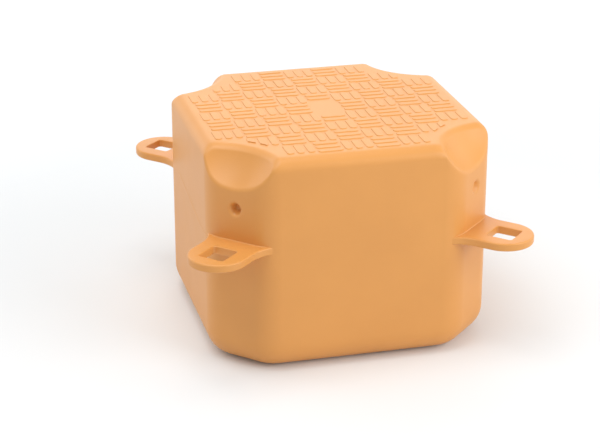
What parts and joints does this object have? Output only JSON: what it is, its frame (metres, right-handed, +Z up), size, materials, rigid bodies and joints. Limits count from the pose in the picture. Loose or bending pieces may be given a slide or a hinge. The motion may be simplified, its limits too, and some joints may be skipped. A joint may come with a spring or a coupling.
{
  "type": "floating dock cube",
  "caption": "Hollow plastic floating dock cube with a ribbed deck, scooped corners and stepped coupling lugs with square holes.",
  "frame": {"origin": "centre of the underside, on the surface that the float stands on", "axes": "+Z up out of the deck, -Y the front side and +X the right side; the lugs point along the diagonals of the plan"},
  "size_m": [0.6018, 0.6018, 0.3855],
  "materials": {
    "float_plastic": "blow-moulded polyethylene, orange, soft satin sheen with a faint moulded grain"
  },
  "bodies": {
    "root": {"dock_cube": "float_plastic"}
  },
  "joints": []
}
